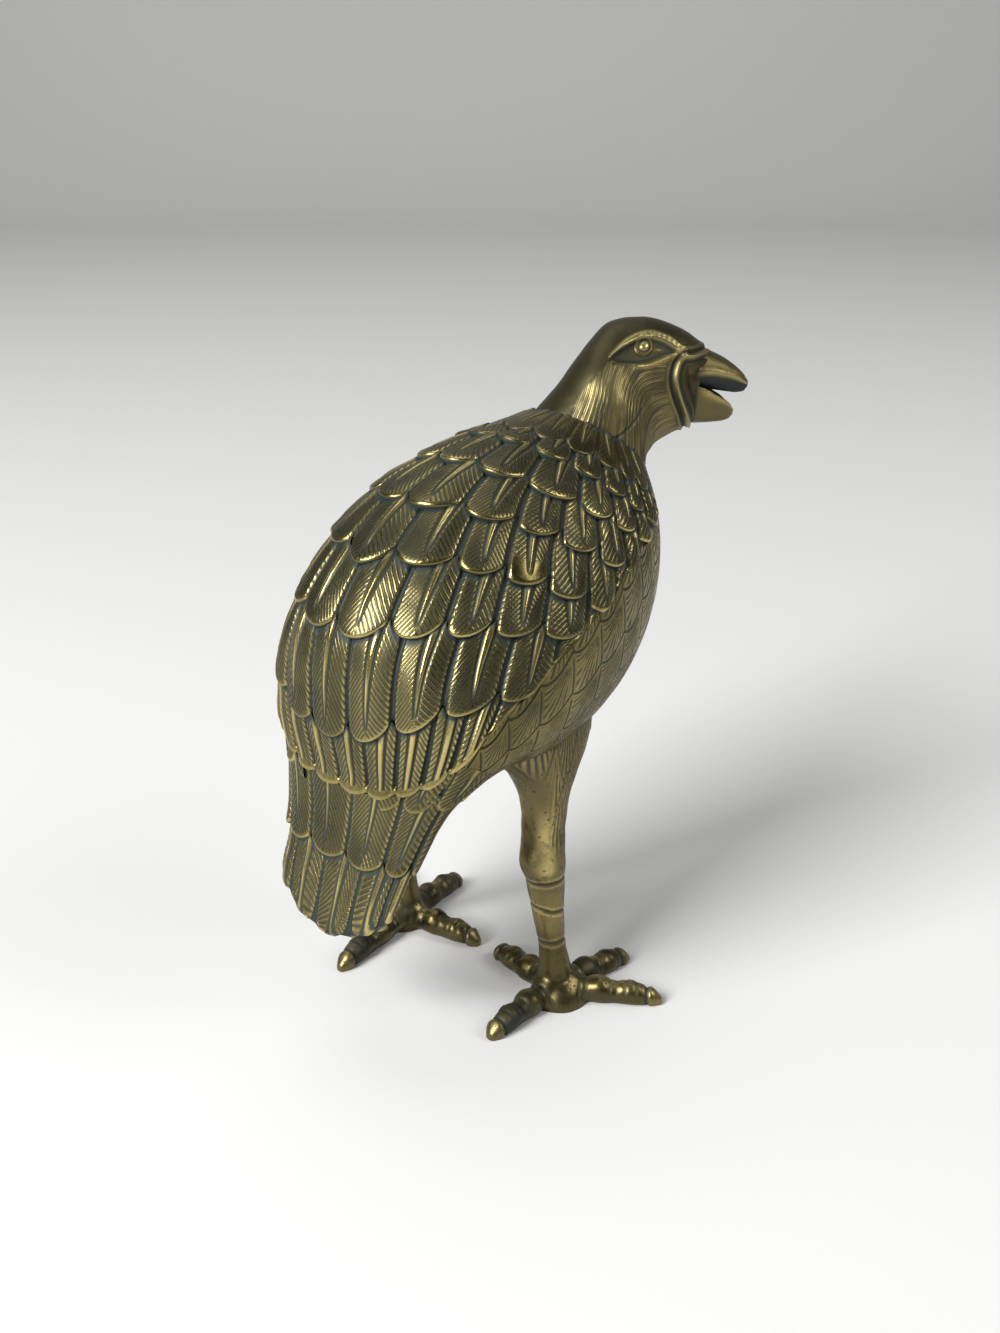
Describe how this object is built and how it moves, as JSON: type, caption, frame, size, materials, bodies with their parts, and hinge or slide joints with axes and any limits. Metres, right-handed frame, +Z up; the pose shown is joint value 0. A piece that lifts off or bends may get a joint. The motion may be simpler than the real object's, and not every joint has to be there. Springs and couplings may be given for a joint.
{
  "type": "quail incense burner",
  "caption": "Standing quail cast in brass, hollow, with a feathered back that lifts off over an incense cup; smoke leaves by the open beak.",
  "frame": {"origin": "middle of the object's outline seen from above, on the ground between and behind the feet", "axes": "+X the way the body faces, +Y the bird's left, +Z up"},
  "size_m": [0.126, 0.093, 0.1502],
  "materials": {
    "brass": "chased and worn, dark patina in the lines",
    "dark_brass": "dark patina with worn ridges",
    "inner_brass": "plain, dulled by smoke"
  },
  "bodies": {
    "bird": {"bowl_body": "brass", "neck_and_head": "brass", "right_leg": "dark_brass", "left_leg": "dark_brass", "right_leg_pin": "inner_brass", "left_leg_pin": "inner_brass"},
    "cover": {"cover": "brass", "cover_locating_flange": "inner_brass"},
    "cup": {"incense_cup": "inner_brass"}
  },
  "joints": [
    {"name": "cover_lift", "type": "slide", "parent": "bird", "child": "cover", "axis": [0, 0, 1], "range_m": [0, 0.095]},
    {"name": "cup_lift", "type": "slide", "parent": "bird", "child": "cup", "axis": [0, 0, 1], "range_m": [0, 0.045]}
  ],
  "couplings": [
    {"joint": "cup_lift", "follows": "cover_lift", "ratio": 0.45}
  ]
}
